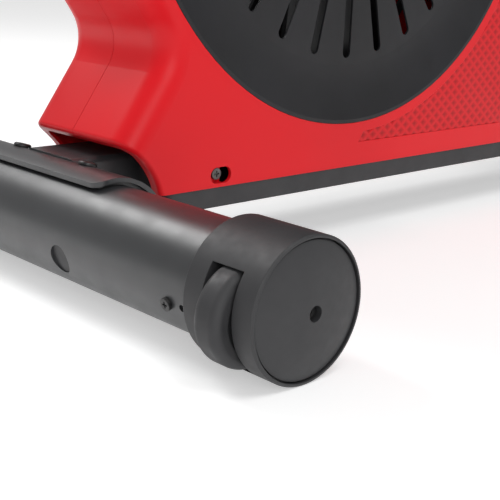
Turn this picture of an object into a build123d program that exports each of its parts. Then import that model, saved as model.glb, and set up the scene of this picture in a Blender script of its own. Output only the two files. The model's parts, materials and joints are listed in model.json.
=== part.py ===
"""Air bike: fan bike with swinging handle arms, in millimetres.

Z is up and the floor is z = 0.  +X is the rider's left, +Y is the rear, and x = 0 is the
mid-plane of the frame.  The origin is on the floor, below the middle of the whole bike.
"""

from build123d import *
from math import acos, cos, degrees, radians, sin
import os

os.makedirs("parts", exist_ok=True)

# ---------------------------------------------------------------- driving dimensions
TUBE_R = 36.5                  # 73 mm stabiliser tubes
TUBE_WALL = 2.5
CAP_R = 43.0                   # plastic end caps
WHEELBASE = 1130.0             # front to rear stabiliser axis
WHEEL_REACH = 53.4             # front of the transport wheels, ahead of the front axis
Y_FRONT = -(WHEELBASE + CAP_R - WHEEL_REACH) / 2
Y_REAR = Y_FRONT + WHEELBASE
FRONT_Z = CAP_R                # the front caps stand on the floor
REAR_Z = CAP_R + 12.0          # the rear caps hang above the levelling feet

CAP_FACE_X = 269.0             # rim of the front end caps
CAP_INNER_X = 213.0
COVER_SEAT = 4.0               # depth of the covers' pockets
TUBE_END_X = 224.0
COVER_R = 39.9
COVER_DOME = 6.0
GROOVE = 1.0                   # open ring round the covers
REAR_HALF = 235.0
REAR_CAP = (40.0, 12.0)        # length, and thickness of its end
FOOT_X = 172.0
FOOT_R, FOOT_STUD_R = 24.0, 6.0

WHEEL_R = 29.8
WHEEL_Y = Y_FRONT - 23.6
WHEEL_Z = FRONT_Z - 4.0
WHEEL_X = (232.5, 252.0)
WHEEL_SLOT_X = (228.7, 253.8)
WHEEL_SLOT_R = 31.2
PIN_R = 4.0
FIT = 0.05                     # radial clearance of a running fit
GAP = 0.3                      # free gap between separate pieces

BEAM_HALF = 30.0
BEAM_Z = (48.0, 86.0)
SADDLE_HALF = 93.0
SADDLE_Y = (Y_FRONT - 15.2, Y_FRONT + 37.4)
SADDLE_R = (TUBE_R, 39.1, 42.3)    # tube, underside and top of the plate's overhanging edge
SADDLE_CORNERS = (9.0, 35.0)    # front and back corners of the plate
SADDLE_BOLT = (43.0, 15.0)     # x, and degrees back from the top of the tube
PLUG_X, PLUG_DROP, PLUG_R = 78.0, 17.0, 10.0
TUBE_SCREW_X, TUBE_SCREW_DROP = 191.0, 15.0
TUBE_NOTCH = (204.0, 14.0, 2.2)    # small open hole: x, degrees down, radius
BOLT_SHANK_R, BOLT_HEAD_R, BOLT_HEAD_H = 4.0, 6.6, 2.6

FAN_Y, FAN_Z = Y_FRONT + 260.0, 329.0
FAN_R = 222.0
DRUM_R = 250.0                 # outline of the shroud round the fan
DISH_R = 232.0
CRANK_Y, CRANK_Z = Y_FRONT + 680.0, 345.0
REAR_LOBE_R = 150.0
CRANK_LEN = 170.0
LINK_R = 43.0                  # throw of the crank studs that face the push rods

SHELL_X = {"left": 65.0, "right": -60.0}
SHELL_WALL = 3.0
SHELL_BOTTOM = 60.0
SHELL_END = Y_FRONT + 808.0
CUT_R = 61.5                   # opening round the front tube
LIP_R, LIP_DEPTH = 3.5, 10.0   # rolled edge of that opening
FRONT_FOOT = (Y_FRONT + 26.7, 100.5)
FRONT_SLOPE = 55.0             # lean of the shroud's front face, degrees from the floor
SHELL_EDGE_R = 19.0
SEAM = 0.25
SKIRT_X = (-59.0, 64.0)
SKIRT_Y = Y_FRONT + 65.0        # its front
SKIRT_Z = (44.6, 60.0)
SKIRT_FRONT_Z = 77.0           # top of the wall across the skirt's front
SCREW = (4.4, 2.6, 2.0, 13.0)  # head radius and height, shank radius and length
SCREW_SLOT = (20.5, 12.4)      # opening in the side over each screw
TAB = (7.5, 10.5)              # depths of the front and back of the tab that a screw clamps
WASHER = (6.5, 1.0)            # radius and thickness, under the front screws
SCREW_SPOTS = [(Y_FRONT + y, 69.0) for y in (115.5, 530.0, 765.0)]
FRONT_SCREW_IN, FRONT_SCREW_Z = 13.0, 61.0    # screws in the skirt's front wall
PANEL_R = DISH_R + 9.0         # textured panels in the sides
PANEL_DEPTH = 1.3
PANEL = [(FAN_Y + 11, 80.0), (Y_FRONT + 770, 80.0), (Y_FRONT + 770, 112.0), (Y_FRONT + 690, 150.0),
         (FAN_Y + 215, 215.0), (FAN_Y + 100, 215.0), (FAN_Y + 24, 99.0)]
GUARD_DEPTH = {"left": 10.0, "right": 8.0}
VENTS = 28

PLATE_X = (30.0, 35.0)
BOSS_X = 38.0
BEARING_R = 17.5
FAN_SHAFT_R = 8.5
FAN_HALF = 26.0
BLADES = 12
PULLEY_X = (40.0, 52.0)
FAN_PULLEY_R = 30.0
CRANK_PULLEY_R = 120.0

POST_BASE = (Y_FRONT + 540.0, BEAM_Z[1])
POST_TOP = (Y_FRONT + 470.0, 1140.0)
POST_R = 30.0
PIVOT_Z = 650.0
PIVOT_HALF = 58.0              # half length of the pivot tube on the post
HUB_X = (59.0, 100.0)          # hubs of the handle arms
SPINDLE_R = 10.0
BB_HALF = 36.0
ROD_X = (68.0, 77.0)
LEVER_X = (79.0, 91.0)
ARM_X = (93.0, 106.0)
LEVER_LEN = 165.0
PEDAL_X = (116.0, 206.0)
PEDAL_HALF = (50.0, 13.0)      # half length and half height of a pedal
PEDAL_SPINDLE_R = 7.0
LINK_PIN_R, STUD_R = 6.0, 10.0
PEG_Z = 250.0
PEG_R, PEG_X = 17.0, (70.0, 175.0)
PEG_STEM_R, PEG_RIM_R, PEG_SPIGOT_R = 14.0, 21.0, 8.0
HAND_TUBE_R = 16.0
GRIP_LEN, GRIP_WALL = 78.0, 4.0

SEAT_LEAN = 12.0               # seat tube, degrees back from upright
SEAT_BASE_Y = Y_FRONT + 870.0
SEAT_TUBE_LEN = 470.0
SEAT_TUBE_R = 30.0
SEAT_POST_R = 25.0
SEAT_POST_FROM, SEAT_POST_TO = 230.0, 770.0
CLAMP_AT = 440.0               # height knob, along the seat tube
COLLAR = (4.0, 60.0)           # thickness and length of the seat tube's collar
KNOB_PIN_R, KNOB_R = 6.0, 19.0
SLIDE_PIN_R, SLIDE_KNOB_R = 4.0, 17.0
SHELL_H, PAD_H = 14.0, 48.0    # seat shell and cushion

CONSOLE = (190.0, 130.0, 30.0)
CONSOLE_TILT = 30.0
WINDOW, WINDOW_DEPTH = (142.0, 74.0), 2.5
BUTTON_R, WELL_R = 9.1, 9.5
BUTTON_ROW = -42.0
BUTTONS = (("reset", -45.0), ("mode", 0.0), ("set", 45.0))

SIDES = (("left", 1), ("right", -1))


# ---------------------------------------------------------------- helpers
def side(x):
    """Sketch plane at x: its own x is the bike's Y, its own y is Z, and it faces +X."""
    return Plane.YZ.offset(x)


def bar_x(y, z, radius, x0, x1, mode=Mode.ADD):
    """Round bar along X, in the part being built."""
    with BuildSketch(side(x0)) as face:
        with Locations((y, z)):
            Circle(radius)
    extrude(face.sketch, amount=x1 - x0, mode=mode)


def block(x, y, z, mode=Mode.ADD):
    """Block between pairs of limits, in the part being built."""
    with Locations(((x[0] + x[1]) / 2, (y[0] + y[1]) / 2, (z[0] + z[1]) / 2)):
        Box(abs(x[1] - x[0]), y[1] - y[0], z[1] - z[0], mode=mode)


def around(drop):
    """Direction out of the front tube, in degrees turned down from straight ahead."""
    return Vector(0, -cos(radians(drop)), -sin(radians(drop)))


def strap(a, b, mode=Mode.ADD):
    """Two circles (y, z, radius) joined by their outer tangents, in the sketch being built."""
    (ya, za, ra), (yb, zb, rb) = a, b
    along = Vector(yb - ya, zb - za)
    base = Vector(1, 0).get_signed_angle(along, Vector(0, 0, 1))
    spread = degrees(acos((ra - rb) / along.length))
    corners = []
    for y, z, r, turn in ((*a, spread), (*b, spread), (*b, -spread), (*a, -spread)):
        angle = radians(base + turn)
        corners.append((y + r * cos(angle), z + r * sin(angle)))
    Polygon(*corners, align=None, mode=mode)
    for y, z, r in (a, b):
        with Locations((y, z)):
            Circle(r, mode=mode)


def screw(seat, facing):
    """Cross-head screw with its head standing on seat, in the part being built."""
    head_r, head_h, shank_r, shank_len = SCREW
    for start, length, radius in ((-shank_len, shank_len, shank_r), (0, head_h, head_r)):
        with BuildSketch(Plane(origin=seat + facing * start, z_dir=facing)) as disc:
            Circle(radius)
        extrude(disc.sketch, amount=length)
    with BuildSketch(Plane(origin=seat + facing * (head_h - 1.2), x_dir=(0, 0, 1), z_dir=facing)) as cross:
        Rectangle(4.6, 1.1)
        Rectangle(1.1, 4.6)
    extrude(cross.sketch, amount=head_h, mode=Mode.SUBTRACT)


def finish(name, builder):
    """Label a finished piece and write it."""
    builder.part.label = name
    export_step(builder.part, f"parts/{name}.step")


# ---------------------------------------------------------------- stabilisers
with BuildPart() as front_tube:
    bar_x(Y_FRONT, FRONT_Z, TUBE_R, -TUBE_END_X, TUBE_END_X)
    bar_x(Y_FRONT, FRONT_Z, TUBE_R - TUBE_WALL, -TUBE_END_X, TUBE_END_X, Mode.SUBTRACT)
    for _, sign in SIDES:
        for x, drop, hole in ((PLUG_X, PLUG_DROP, PLUG_R), TUBE_NOTCH,
                              (TUBE_SCREW_X, TUBE_SCREW_DROP, SCREW[2]),
                              (SADDLE_BOLT[0], 270 - SADDLE_BOLT[1], BOLT_SHANK_R)):
            with BuildSketch(Plane(origin=(sign * x, Y_FRONT, FRONT_Z), z_dir=around(drop))) as bore:
                Circle(hole)
            extrude(bore.sketch, amount=CAP_R, mode=Mode.SUBTRACT)
finish("front_stabiliser_tube", front_tube)

with BuildPart() as rear_tube:
    bar_x(Y_REAR, REAR_Z, TUBE_R, -REAR_HALF + REAR_CAP[1], REAR_HALF - REAR_CAP[1])
    bar_x(Y_REAR, REAR_Z, TUBE_R - TUBE_WALL, -REAR_HALF, REAR_HALF, Mode.SUBTRACT)
    for sign in (1, -1):
        with Locations((sign * FOOT_X, Y_REAR, REAR_Z - TUBE_R)):
            Cylinder(FOOT_STUD_R + 0.2, 12, mode=Mode.SUBTRACT)
finish("rear_stabiliser_tube", rear_tube)


def front_cap(sign):
    """End cap with the tube socket, the slot for the transport wheel and the cover recess."""
    with BuildPart() as cap:
        bar_x(Y_FRONT, FRONT_Z, CAP_R, sign * CAP_INNER_X, sign * CAP_FACE_X)
        outer = cap.edges().filter_by(GeomType.CIRCLE).sort_by(Axis.X)
        fillet(outer[0 if sign > 0 else -1], 1.5)
        chamfer(outer[-1 if sign > 0 else 0], 1.0)
        bar_x(Y_FRONT, FRONT_Z, TUBE_R, sign * CAP_INNER_X, sign * TUBE_END_X, Mode.SUBTRACT)
        bar_x(WHEEL_Y, WHEEL_Z, WHEEL_SLOT_R, sign * WHEEL_SLOT_X[0], sign * WHEEL_SLOT_X[1],
              Mode.SUBTRACT)
        bar_x(Y_FRONT, FRONT_Z, COVER_R + GROOVE, sign * (CAP_FACE_X - COVER_SEAT),
              sign * CAP_FACE_X, Mode.SUBTRACT)
        bar_x(WHEEL_Y, WHEEL_Z, PIN_R, sign * TUBE_END_X, sign * (CAP_FACE_X - COVER_SEAT),
              Mode.SUBTRACT)
        bar_x(Y_FRONT, FRONT_Z, 2.1, sign * (CAP_FACE_X - 13), sign * CAP_FACE_X, Mode.SUBTRACT)
    return cap


def cover(sign):
    """Slightly domed disc over the wheel pin, with a deep hole for its screw."""
    rim = sign * (CAP_FACE_X - 1.2)
    back = sign * (CAP_FACE_X - COVER_SEAT)
    crown = sign * (CAP_FACE_X - 1.2 + COVER_DOME)
    with BuildPart() as disc:
        with BuildSketch(Plane.XY) as half:
            with BuildLine():
                Polyline((back, 0), (back, COVER_R), (rim, COVER_R))
                ThreePointArc((rim, COVER_R), (rim + (crown - rim) * 0.75, COVER_R / 2), (crown, 0))
                Line((crown, 0), (back, 0))
            make_face()
        revolve(half.sketch, axis=Axis.X)
        bar_x(0, 0, 4.7, sign * (CAP_FACE_X - 1.5), crown + sign, Mode.SUBTRACT)
        bar_x(0, 0, 2.1, back - sign, crown, Mode.SUBTRACT)
    return disc.part.moved(Location((0, Y_FRONT, FRONT_Z)))


def tyre(sign):
    """Solid transport wheel with rounded tread shoulders."""
    x0, x1 = (sign * x for x in WHEEL_X)
    with BuildPart() as wheel:
        bar_x(WHEEL_Y, WHEEL_Z, WHEEL_R, x0, x1)
        fillet(wheel.edges().filter_by(GeomType.CIRCLE), 5.5)
        for x, step in ((x0, sign), (x1, -sign)):
            bar_x(WHEEL_Y, WHEEL_Z, 20, x, x + 2 * step, Mode.SUBTRACT)
            bar_x(WHEEL_Y, WHEEL_Z, 9, x, x + 2 * step)
        bar_x(WHEEL_Y, WHEEL_Z, PIN_R + FIT, x0, x1, Mode.SUBTRACT)
    return wheel


for name, sign in SIDES:
    finish(f"front_cap_{name}", front_cap(sign))
    finish(f"transport_wheel_{name}", tyre(sign))

with BuildPart() as cap_covers:
    for _, sign in SIDES:
        add(cover(sign))
finish("cap_covers", cap_covers)

with BuildPart() as wheel_pins:
    for _, sign in SIDES:
        bar_x(WHEEL_Y, WHEEL_Z, PIN_R, sign * (TUBE_END_X + 1), sign * (CAP_FACE_X - COVER_SEAT - 0.5))
finish("wheel_pins", wheel_pins)

with BuildPart() as rear_caps:
    for _, sign in SIDES:
        bar_x(Y_REAR, REAR_Z, CAP_R, sign * (REAR_HALF - REAR_CAP[0]), sign * REAR_HALF)
        bar_x(Y_REAR, REAR_Z, TUBE_R, sign * (REAR_HALF - REAR_CAP[0]), sign * (REAR_HALF - REAR_CAP[1]),
              Mode.SUBTRACT)
    ends = rear_caps.edges().filter_by(GeomType.CIRCLE).group_by(Axis.X)
    for ring in (ends[0], ends[-1]):
        fillet(ring, 3)
finish("rear_caps", rear_caps)


def level_foot(sign):
    """Threaded stud with its lock nut and the disc that stands on the floor."""
    with BuildPart() as foot:
        with BuildSketch(Plane.XY):
            with Locations((sign * FOOT_X, Y_REAR)):
                Circle(FOOT_R)
        extrude(amount=7)
        fillet(foot.edges().filter_by(GeomType.CIRCLE).sort_by(Axis.Z)[-1], 3)
        with BuildSketch(Plane.XY.offset(7)):
            with Locations((sign * FOOT_X, Y_REAR)):
                Circle(FOOT_STUD_R)
        extrude(amount=28)
        with BuildSketch(Plane.XY.offset(REAR_Z - TUBE_R - GAP - 6)):
            with Locations((sign * FOOT_X, Y_REAR)):
                RegularPolygon(10, 6)
        extrude(amount=6)
    return foot


for name, sign in SIDES:
    finish(f"levelling_foot_{name}", level_foot(sign))

with BuildPart() as cap_screws:
    for _, sign in SIDES:
        head = CAP_FACE_X - 1.5
        bar_x(Y_FRONT, FRONT_Z, 4.2, sign * head, sign * (head + 2.2))
        bar_x(Y_FRONT, FRONT_Z, 2.0, sign * (head - 11), sign * head)
        bar_x(Y_FRONT, FRONT_Z, 1.6, sign * (head + 1.2), sign * (head + 2.2), Mode.SUBTRACT)
        facing = around(TUBE_SCREW_DROP)
        axis = Vector(sign * TUBE_SCREW_X, Y_FRONT, FRONT_Z)
        for start, length, radius in ((TUBE_R - 6, 8, 2.0), (TUBE_R + 0.1, 2.2, 4.15)):
            with BuildSketch(Plane(origin=axis + facing * start, z_dir=facing)) as button:
                Circle(radius)
            extrude(button.sketch, amount=length)
        cross_plane = Plane(origin=axis + facing * (TUBE_R + 1.2), x_dir=(1, 0, 0), z_dir=facing)
        with BuildSketch(cross_plane) as cross:
            Rectangle(4.4, 1.0)
            Rectangle(1.0, 4.4)
        extrude(cross.sketch, amount=2, mode=Mode.SUBTRACT)
finish("cap_screws", cap_screws)

with BuildPart() as hole_plugs:
    for _, sign in SIDES:
        facing = around(PLUG_DROP)
        back = Vector(sign * PLUG_X, Y_FRONT, FRONT_Z) + facing * (TUBE_R - 6.2)
        with BuildSketch(Plane(origin=back, z_dir=facing)) as disc:
            Circle(PLUG_R)
        extrude(disc.sketch, amount=4)
finish("hole_plugs", hole_plugs)

# ---------------------------------------------------------------- frame
def saddle_plan(inset):
    """Plan of the saddle plate, moved inwards by inset, as a sketch."""
    depth = SADDLE_Y[1] - SADDLE_Y[0]
    with BuildSketch(Plane.XY.offset(FRONT_Z)) as plan:
        with Locations((0, (SADDLE_Y[0] + SADDLE_Y[1]) / 2)):
            Rectangle(2 * (SADDLE_HALF - inset), depth - 2 * inset)
        corners = plan.vertices().group_by(Axis.Y)
        fillet(corners[0], SADDLE_CORNERS[0] - inset)
        fillet(corners[-1], SADDLE_CORNERS[1] - inset)
    return plan.sketch


bolt_axis = around(270 - SADDLE_BOLT[1])

with BuildPart() as saddle_pad:
    bar_x(Y_FRONT, FRONT_Z, SADDLE_R[1], -SADDLE_HALF, SADDLE_HALF)
    extrude(saddle_plan(5), amount=CAP_R, mode=Mode.INTERSECT)

with BuildPart() as saddle_plate:
    bar_x(Y_FRONT, FRONT_Z, SADDLE_R[2], -SADDLE_HALF, SADDLE_HALF)
    extrude(saddle_plan(0), amount=CAP_R, mode=Mode.INTERSECT)
    bar_x(Y_FRONT, FRONT_Z, SADDLE_R[1], -SADDLE_HALF, SADDLE_HALF, Mode.SUBTRACT)
    add(saddle_pad.part)
    bar_x(Y_FRONT, FRONT_Z, SADDLE_R[0], -SADDLE_HALF, SADDLE_HALF, Mode.SUBTRACT)
    for _, sign in SIDES:
        origin = Vector(sign * SADDLE_BOLT[0], Y_FRONT, FRONT_Z)
        with BuildSketch(Plane(origin=origin, z_dir=bolt_axis)) as bore:
            Circle(BOLT_SHANK_R)
        extrude(bore.sketch, amount=CAP_R + 4, mode=Mode.SUBTRACT)
finish("saddle_plate", saddle_plate)

with BuildPart() as saddle_bolts:
    for _, sign in SIDES:
        origin = Vector(sign * SADDLE_BOLT[0], Y_FRONT, FRONT_Z)
        for start, length, radius in ((-14, 14.5, BOLT_SHANK_R), (0.1, BOLT_HEAD_H, BOLT_HEAD_R)):
            level = origin + bolt_axis * (SADDLE_R[2] + start)
            with BuildSketch(Plane(origin=level, z_dir=bolt_axis)) as disc:
                Circle(radius)
            extrude(disc.sketch, amount=length)
    domes = saddle_bolts.edges().filter_by(GeomType.CIRCLE).group_by(Axis.Z)[-1]
    fillet(domes, 1.9)
    for _, sign in SIDES:
        level = Vector(sign * SADDLE_BOLT[0], Y_FRONT, FRONT_Z) + bolt_axis * (SADDLE_R[2] + 1.2)
        with BuildSketch(Plane(origin=level, z_dir=bolt_axis)) as hex_key:
            RegularPolygon(2.4, 6)
        extrude(hex_key.sketch, amount=3, mode=Mode.SUBTRACT)
finish("saddle_bolts", saddle_bolts)

with BuildPart() as main_beam:
    block((-BEAM_HALF, BEAM_HALF), (Y_FRONT + 8, Y_REAR), BEAM_Z)
    fillet(main_beam.edges().filter_by(Axis.Y), 4)
    block((-BEAM_HALF + 3, BEAM_HALF - 3), (Y_FRONT, Y_REAR), (BEAM_Z[0] + 3, BEAM_Z[1] - 3),
          Mode.SUBTRACT)
    bar_x(Y_FRONT, FRONT_Z, SADDLE_R[2], -100, 100, Mode.SUBTRACT)
    bar_x(Y_REAR, REAR_Z, TUBE_R, -100, 100, Mode.SUBTRACT)
    block((-40, 40), (Y_REAR - 5, Y_REAR + 5), (0, 140), Mode.SUBTRACT)
finish("main_beam", main_beam)


def fan_plate(sign):
    """Upright that carries the fan bearing, welded to the side of the beam."""
    with BuildPart() as plate:
        with BuildSketch(side(sign * PLATE_X[0])) as outline:
            strap((FAN_Y, BEAM_Z[0] + 60, 60), (FAN_Y, FAN_Z, 32))
            with Locations((FAN_Y, BEAM_Z[0] - 40 + 2)):
                Rectangle(200, 80, mode=Mode.SUBTRACT)
        extrude(outline.sketch, amount=sign * (PLATE_X[1] - PLATE_X[0]))
        bar_x(FAN_Y, FAN_Z, BEARING_R + 7, sign * PLATE_X[1], sign * BOSS_X)
        bar_x(FAN_Y, FAN_Z, BEARING_R, sign * PLATE_X[0], sign * BOSS_X, Mode.SUBTRACT)
        bar_x(FAN_Y, PEG_Z, PEG_SPIGOT_R, sign * PLATE_X[0], sign * PLATE_X[1], Mode.SUBTRACT)
    return plate


def foot_peg(sign):
    """Bolt-on peg that stands out through the fan guard."""
    with BuildPart() as peg:
        bar_x(FAN_Y, PEG_Z, PEG_SPIGOT_R, sign * PLATE_X[0], sign * PLATE_X[1])
        bar_x(FAN_Y, PEG_Z, PEG_STEM_R, sign * PLATE_X[1], sign * PEG_X[0])
        bar_x(FAN_Y, PEG_Z, PEG_R, sign * PEG_X[0], sign * PEG_X[1])
        for ring in range(8):
            x = PEG_X[0] + 12 + ring * 11
            with BuildSketch(side(sign * x)) as groove:
                with Locations((FAN_Y, PEG_Z)):
                    Circle(PEG_R + 1)
                    Circle(PEG_R - 1.5, mode=Mode.SUBTRACT)
            extrude(groove.sketch, amount=sign * 3, mode=Mode.SUBTRACT)
        bar_x(FAN_Y, PEG_Z, PEG_RIM_R, sign * PEG_X[1], sign * (PEG_X[1] + 6))
    return peg


for name, sign in SIDES:
    finish(f"fan_plate_{name}", fan_plate(sign))
    finish(f"foot_peg_{name}", foot_peg(sign))

with BuildPart() as crank_bracket:
    with BuildSketch(side(-BB_HALF + 8)) as gusset:
        strap((CRANK_Y, BEAM_Z[1] + 30, 45), (CRANK_Y, CRANK_Z, 26))
        with Locations((CRANK_Y, BEAM_Z[1] - 50)):
            Rectangle(200, 100, mode=Mode.SUBTRACT)
    extrude(gusset.sketch, amount=2 * (BB_HALF - 8))
    with BuildSketch(side(-BB_HALF + 12)) as hollow:
        strap((CRANK_Y, BEAM_Z[1] + 34, 38), (CRANK_Y, CRANK_Z - 60, 22))
    extrude(hollow.sketch, amount=2 * (BB_HALF - 12), mode=Mode.SUBTRACT)
    bar_x(CRANK_Y, CRANK_Z, 26, -BB_HALF, BB_HALF)
    bar_x(CRANK_Y, CRANK_Z, BEARING_R, -BB_HALF, BB_HALF, Mode.SUBTRACT)
finish("crank_bracket", crank_bracket)

with BuildPart() as bearings:
    for _, sign in SIDES:
        bar_x(FAN_Y, FAN_Z, BEARING_R, sign * PLATE_X[0], sign * BOSS_X)
        bar_x(FAN_Y, FAN_Z, FAN_SHAFT_R, sign * PLATE_X[0], sign * BOSS_X, Mode.SUBTRACT)
        bar_x(CRANK_Y, CRANK_Z, BEARING_R, sign * (BB_HALF - 12), sign * BB_HALF)
        bar_x(CRANK_Y, CRANK_Z, SPINDLE_R + FIT, sign * (BB_HALF - 12), sign * BB_HALF, Mode.SUBTRACT)
finish("bearings", bearings)

post_axis = Vector(0, POST_TOP[0] - POST_BASE[0], POST_TOP[1] - POST_BASE[1])
post_plane = Plane(origin=(0, *POST_BASE), x_dir=(1, 0, 0), z_dir=post_axis)
PIVOT_Y = POST_BASE[0] + post_axis.Y * (PIVOT_Z - POST_BASE[1]) / post_axis.Z

with BuildPart() as front_post:
    with BuildSketch(post_plane.offset(-10)) as ring:
        Circle(POST_R)
        Circle(POST_R - TUBE_WALL, mode=Mode.SUBTRACT)
    extrude(ring.sketch, amount=post_axis.length + 10)
    block((-60, 60), (POST_BASE[0] - 60, POST_BASE[0] + 60), (0, BEAM_Z[1]), Mode.SUBTRACT)
    bar_x(PIVOT_Y, PIVOT_Z, 18, -PIVOT_HALF, PIVOT_HALF)
    bar_x(PIVOT_Y, PIVOT_Z, SPINDLE_R, -PIVOT_HALF, PIVOT_HALF, Mode.SUBTRACT)
finish("front_post", front_post)

with BuildPart() as arm_axle:
    bar_x(PIVOT_Y, PIVOT_Z, SPINDLE_R, -HUB_X[1] - 2, HUB_X[1] + 2)
    for _, sign in SIDES:
        bar_x(PIVOT_Y, PIVOT_Z, 17, sign * (HUB_X[1] + 1), sign * (HUB_X[1] + 6))
    rims = arm_axle.edges().filter_by(GeomType.CIRCLE).group_by(Axis.X)
    for ring in (rims[0], rims[-1]):
        fillet(ring, 1.5)
finish("arm_axle", arm_axle)

seat_axis = Vector(0, sin(radians(SEAT_LEAN)), cos(radians(SEAT_LEAN)))
seat_plane = Plane(origin=(0, SEAT_BASE_Y, BEAM_Z[1]), x_dir=(1, 0, 0), z_dir=seat_axis)

with BuildPart() as seat_tube:
    with BuildSketch(seat_plane.offset(-12)) as ring:
        Circle(SEAT_TUBE_R)
        Circle(SEAT_POST_R + 0.08, mode=Mode.SUBTRACT)
    extrude(ring.sketch, amount=SEAT_TUBE_LEN + 12)
    with BuildSketch(seat_plane.offset(SEAT_TUBE_LEN - COLLAR[1])) as collar:
        Circle(SEAT_TUBE_R + COLLAR[0])
        Circle(SEAT_POST_R + 0.08, mode=Mode.SUBTRACT)
    extrude(collar.sketch, amount=COLLAR[1])
    block((-60, 60), (SEAT_BASE_Y - 60, SEAT_BASE_Y + 60), (0, BEAM_Z[1]), Mode.SUBTRACT)
    clamp_origin = Vector(0, SEAT_BASE_Y, BEAM_Z[1]) + seat_axis * CLAMP_AT
    with BuildSketch(Plane(origin=clamp_origin, z_dir=seat_plane.y_dir)) as bore:
        Circle(KNOB_PIN_R + FIT)
    extrude(bore.sketch, amount=60, mode=Mode.SUBTRACT)
finish("seat_tube", seat_tube)


# ---------------------------------------------------------------- shroud and skirt
def shroud_outline(inset):
    """Side outline of the shroud, moved inwards by inset, in the sketch being built."""
    slope = Vector(cos(radians(FRONT_SLOPE)), sin(radians(FRONT_SLOPE)))
    inward = Vector(slope.Y, -slope.X)
    foot = Vector(*FRONT_FOOT) + inward * inset
    end, bottom = SHELL_END - inset, SHELL_BOTTOM + inset
    low = foot - slope * ((foot.Y - bottom) / slope.Y)
    high = foot + slope * 150
    strap((FAN_Y, FAN_Z, DRUM_R - inset), (CRANK_Y, CRANK_Z, REAR_LOBE_R - inset))
    Polygon((low.X, low.Y), (high.X, high.Y), (FAN_Y, FAN_Z), (CRANK_Y, CRANK_Z),
            (CRANK_Y + REAR_LOBE_R - inset - 4, CRANK_Z - 30), (end, bottom), align=None)


def shroud_body(face_x, inset):
    """Solid block of one shroud half, moved inwards by inset, with its outer edge rounded."""
    with BuildSketch(side(SEAM)) as outline:
        shroud_outline(inset)
        neck = outline.vertices().sort_by_distance((Y_FRONT + 72, 164, 0))[0]
        fillet(neck, 30 + inset)
    with BuildPart() as body:
        extrude(outline.sketch, amount=face_x - SEAM - inset)
        rim_x = face_x - inset
        rim = body.edges().filter_by_position(Axis.X, rim_x - 0.01, rim_x + 0.01)
        keep = [edge for edge in rim if edge.center().Z > SHELL_BOTTOM + inset + 1]
        fillet(keep, SHELL_EDGE_R - inset)
    return body.part


def rolled(solid, face_x):
    """The solid with the opening for the front tube cut out and its edge rolled inwards."""
    with BuildPart() as body:
        add(solid)
        bar_x(Y_FRONT, FRONT_Z, CUT_R, 0, face_x, Mode.SUBTRACT)
        round_faces = body.faces().filter_by(GeomType.CYLINDER)
        opening = round_faces.sort_by_distance((face_x / 2, Y_FRONT, FRONT_Z))[0]
        rim = [edge for edge in opening.edges()
               if edge.center().X > SEAM + 1 and edge.center().Z > SHELL_BOTTOM + 1]
        fillet(rim, LIP_R)
    return body.part


def shroud_hollow(face_x):
    """Inside of one shroud half: the wall thickness everywhere, and the rolled lip kept."""
    with BuildPart() as void:
        add(shroud_body(face_x, SHELL_WALL))
        bar_x(Y_FRONT, FRONT_Z, CUT_R + SHELL_WALL, 0, face_x, Mode.SUBTRACT)
        add(shroud_body(face_x, LIP_DEPTH))
    return void.part


def shroud(name, sign):
    """One half of the shroud: a thin shell, open to the mid-plane, the tube and the skirt."""
    face_x = abs(SHELL_X[name])
    outer = rolled(shroud_body(face_x, 0), face_x)
    hollow = shroud_hollow(face_x)
    if sign < 0:
        outer, hollow = outer.mirror(Plane.YZ), hollow.mirror(Plane.YZ)
    inside = sign * (face_x - SHELL_WALL)
    face = sign * face_x
    with BuildPart() as shell:
        add(outer)
        add(hollow, mode=Mode.SUBTRACT)
        block((0, inside), (Y_FRONT + 60, SHELL_END - SHELL_WALL), (SHELL_BOTTOM - 1, SHELL_BOTTOM + 5),
              Mode.SUBTRACT)
        block((0, sign * (face_x - LIP_DEPTH)), (Y_FRONT + 55, Y_FRONT + 80),
              (SHELL_BOTTOM - 1, SHELL_BOTTOM + LIP_DEPTH + 1), Mode.SUBTRACT)
        # recess and hole for the fan guard, holes for the crank, the post and the screws
        bar_x(FAN_Y, FAN_Z, DISH_R + GAP, face - sign * 1.5, face, Mode.SUBTRACT)
        bar_x(FAN_Y, FAN_Z, DISH_R - 3 + GAP, 0, face, Mode.SUBTRACT)
        block((-BEAM_HALF - GAP, BEAM_HALF + GAP), (Y_FRONT, Y_REAR), (0, BEAM_Z[1] + GAP),
              Mode.SUBTRACT)
        bar_x(CRANK_Y, CRANK_Z, SPINDLE_R + 4, 0, face, Mode.SUBTRACT)
        with BuildSketch(post_plane) as post_hole:
            Circle(POST_R + 1.5)
        extrude(post_hole.sketch, amount=700, mode=Mode.SUBTRACT)
        for y, z in SCREW_SPOTS:
            low, high = z - SCREW_SLOT[1] / 2 - 0.4, z + SCREW_SLOT[1] / 2 + 0.4
            block((face - sign * TAB[0], face - sign * TAB[1]), (y - 5, y + 5), (SHELL_BOTTOM, high + 2.5))
            for span in ((SHELL_BOTTOM, low), (high, high + 2.5)):
                block((face - sign * 2, face - sign * TAB[1]), (y - 5, y + 5), span)
            with BuildSketch(side(face)) as slot:
                with Locations((y, z)):
                    SlotOverall(*SCREW_SLOT)
            extrude(slot.sketch, amount=-sign * (SHELL_WALL + 0.2), mode=Mode.SUBTRACT)
            bar_x(y, z, SCREW[2] + 0.3, face - sign * TAB[1], face - sign * TAB[0], Mode.SUBTRACT)
        # shallow pocket that holds the textured panel
        with BuildSketch(side(face)) as pocket:
            Polygon(*PANEL, align=None)
            with Locations((FAN_Y, FAN_Z)):
                Circle(PANEL_R, mode=Mode.SUBTRACT)
        extrude(pocket.sketch, amount=-sign * PANEL_DEPTH, mode=Mode.SUBTRACT)
    return shell


for name, sign in SIDES:
    finish(f"shroud_{name}", shroud(name, sign))

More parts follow.
